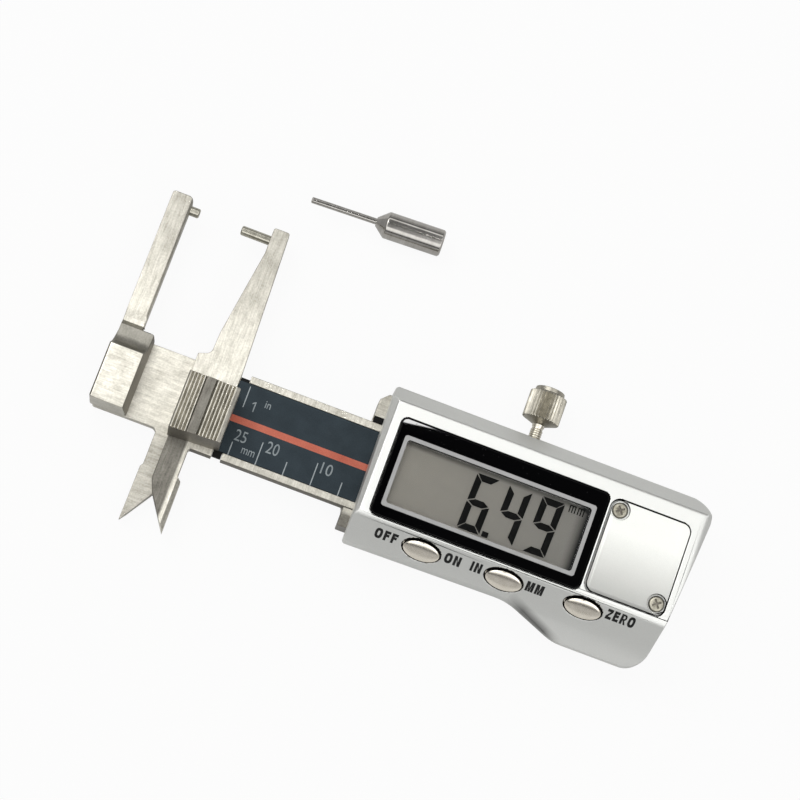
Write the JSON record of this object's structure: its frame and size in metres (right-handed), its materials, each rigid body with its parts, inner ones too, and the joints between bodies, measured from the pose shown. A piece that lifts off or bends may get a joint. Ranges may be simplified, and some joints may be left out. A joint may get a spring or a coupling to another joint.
{
  "type": "digital caliper",
  "caption": "Pocket digital caliper with long pin-tipped arms, small crossing blades, a display housing with oval buttons, a clamp screw and a loose needle probe.",
  "frame": {"origin": "the flat back of the frame plate, on the beam's centre line, straight below the fixed pin's measuring face", "axes": "+X along the beam towards the housing, +Y towards the tips of the long arms, +Z out of the display"},
  "size_m": [0.1059, 0.0677, 0.0142],
  "materials": {
    "ground_steel": "fine ground stainless steel, satin, warm grey",
    "polished_steel": "polished hardened steel with mirror reflections",
    "nickel_plate": "warm nickel plate, semi-bright",
    "silver_housing": "satin silver over a moulded or die-cast shell",
    "black_plastic": "matt black moulding",
    "black_bezel": "piano black window panel",
    "clear_lens": "clear acrylic display window",
    "display_glass": "grey liquid crystal panel with dark slanted digits",
    "printed_label": "dark blue-grey printed foil with pale graduations and an orange-red line",
    "connector_rubber": "conductive rubber strip",
    "circuit_board": "green solder mask"
  },
  "bodies": {
    "caliper_frame": {"frame": "ground_steel", "fixed_jaw": "ground_steel", "fixed_pin": "polished_steel", "jaw_screw_1": "nickel_plate", "jaw_screw_2": "nickel_plate", "gib_strip": "black_plastic", "gib_screw_1": "nickel_plate", "gib_screw_2": "nickel_plate", "housing_shell": "silver_housing", "housing_base": "black_plastic", "housing_screw_1": "nickel_plate", "housing_screw_2": "nickel_plate", "housing_screw_3": "nickel_plate", "housing_screw_4": "nickel_plate", "window_bezel": "black_bezel", "window_trim": "silver_housing", "window_lens": "clear_lens", "lcd_glass": "display_glass", "lcd_holder": "black_plastic", "lcd_connector_lower": "connector_rubber", "lcd_connector_upper": "connector_rubber", "circuit_board": "circuit_board", "switch_off_on": "black_plastic", "switch_in_mm": "black_plastic", "switch_zero": "black_plastic", "battery_cell": "polished_steel", "battery_spring": "nickel_plate", "battery_clip": "nickel_plate", "battery_cover": "silver_housing", "cover_screw_1": "nickel_plate", "cover_screw_2": "nickel_plate", "probe_sleeve": "polished_steel", "probe_needle": "polished_steel"},
    "jaw_slider": {"beam_jaw": "ground_steel", "moving_pin": "polished_steel", "thumb_pad": "ground_steel", "pad_screw_1": "nickel_plate", "pad_screw_2": "nickel_plate", "scale_strip": "black_plastic", "scale_label": "printed_label"},
    "clamp_shank": {"lock_screw_shank": "nickel_plate"},
    "clamp_head": {"lock_screw_head": "nickel_plate"},
    "off_on_button": {"button_off_on": "nickel_plate"},
    "in_mm_button": {"button_in_mm": "nickel_plate"},
    "zero_button": {"button_zero": "nickel_plate"}
  },
  "joints": [
    {"name": "jaw_slide", "type": "slide", "parent": "caliper_frame", "child": "jaw_slider", "axis": [1, 0, 0], "range_m": [-0.00768, 0.0173]},
    {"name": "clamp_advance", "type": "slide", "parent": "caliper_frame", "child": "clamp_shank", "axis": [0, 1, 0], "range_m": [0, 0.0004]},
    {"name": "clamp_turn", "type": "hinge", "parent": "clamp_shank", "child": "clamp_head", "pos_m": [0.06768, 0.0212, 0.0036], "axis": [0, 1, 0], "range_deg": [0, 360]},
    {"name": "off_on_press", "type": "slide", "parent": "caliper_frame", "child": "off_on_button", "axis": [0, 0, -1], "range_m": [0, 0.0005], "stiffness_N_per_m": 600},
    {"name": "in_mm_press", "type": "slide", "parent": "caliper_frame", "child": "in_mm_button", "axis": [0, 0, -1], "range_m": [0, 0.0005], "stiffness_N_per_m": 600},
    {"name": "zero_press", "type": "slide", "parent": "caliper_frame", "child": "zero_button", "axis": [0, 0, -1], "range_m": [0, 0.0005], "stiffness_N_per_m": 600}
  ],
  "couplings": [
    {"joint": "clamp_turn", "follows": "clamp_advance", "rad_per_m": 15708}
  ]
}
